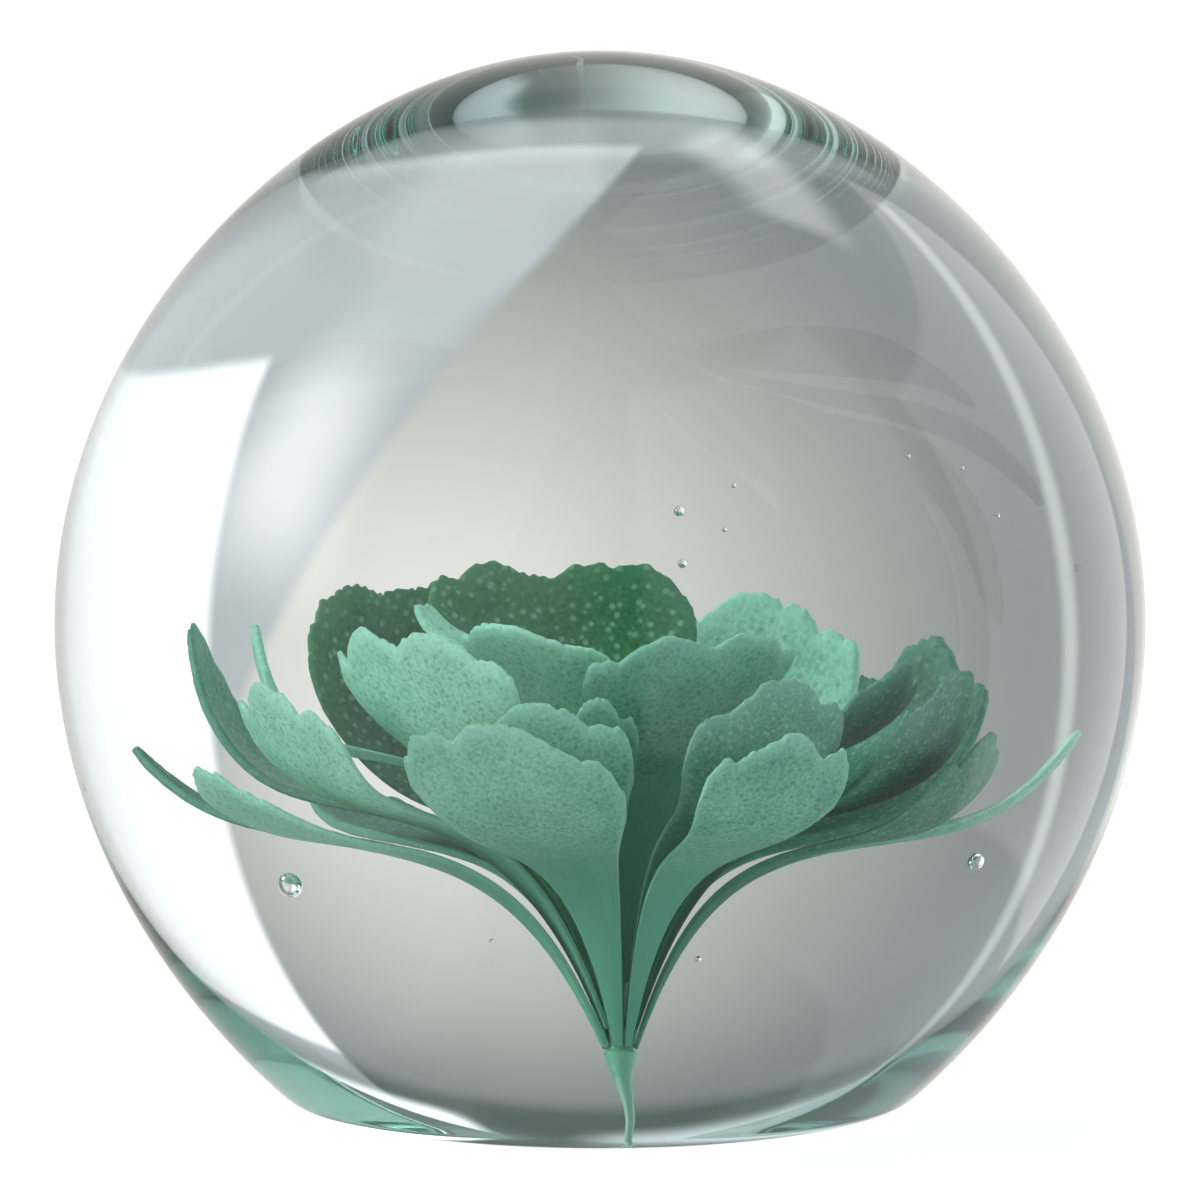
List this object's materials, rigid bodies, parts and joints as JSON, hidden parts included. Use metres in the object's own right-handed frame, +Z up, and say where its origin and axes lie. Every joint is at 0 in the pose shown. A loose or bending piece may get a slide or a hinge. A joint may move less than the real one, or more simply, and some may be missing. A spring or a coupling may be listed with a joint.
{
  "type": "paperweight",
  "caption": "Clear glass ball with a flat base, holding a many-petalled green glass flower on a drawn thread, and small seed bubbles.",
  "frame": {"origin": "middle of the flat base, on the axis of the ball, where the object rests", "axes": "+Z up along the axis of the ball; -Y is the front, the side that the flower shows best from"},
  "size_m": [0.08, 0.08, 0.077],
  "materials": {
    "clear_glass": "clear, fire polished, smooth all over, with a ground and polished flat base",
    "green_frit_glass": "opaque sage green crushed glass, fused, with a fine light and dark grain",
    "thread_glass": "pale mint green drawn glass, smooth and slightly translucent"
  },
  "bodies": {
    "root": {"glass_body": "clear_glass", "stem_thread": "thread_glass", "petal_low_front_left": "green_frit_glass", "petal_low_front_right": "green_frit_glass", "petal_low_left": "green_frit_glass", "petal_low_left_point": "green_frit_glass", "petal_low_right": "green_frit_glass", "petal_low_right_point": "green_frit_glass", "petal_low_back_right": "green_frit_glass", "petal_low_back_left": "green_frit_glass", "petal_outer_front": "green_frit_glass", "petal_outer_front_right": "green_frit_glass", "petal_outer_right": "green_frit_glass", "petal_outer_back_right": "green_frit_glass", "petal_outer_back": "green_frit_glass", "petal_outer_back_left": "green_frit_glass", "petal_outer_left_back": "green_frit_glass", "petal_outer_left": "green_frit_glass", "petal_middle_left": "green_frit_glass", "petal_middle_left_finger": "green_frit_glass", "petal_middle_right": "green_frit_glass", "petal_middle_back": "green_frit_glass", "petal_middle_front": "green_frit_glass", "petal_inner_front_right": "green_frit_glass", "petal_inner_left": "green_frit_glass", "petal_heart_front": "green_frit_glass", "petal_heart_left": "green_frit_glass", "petal_heart_back": "green_frit_glass"}
  },
  "joints": []
}
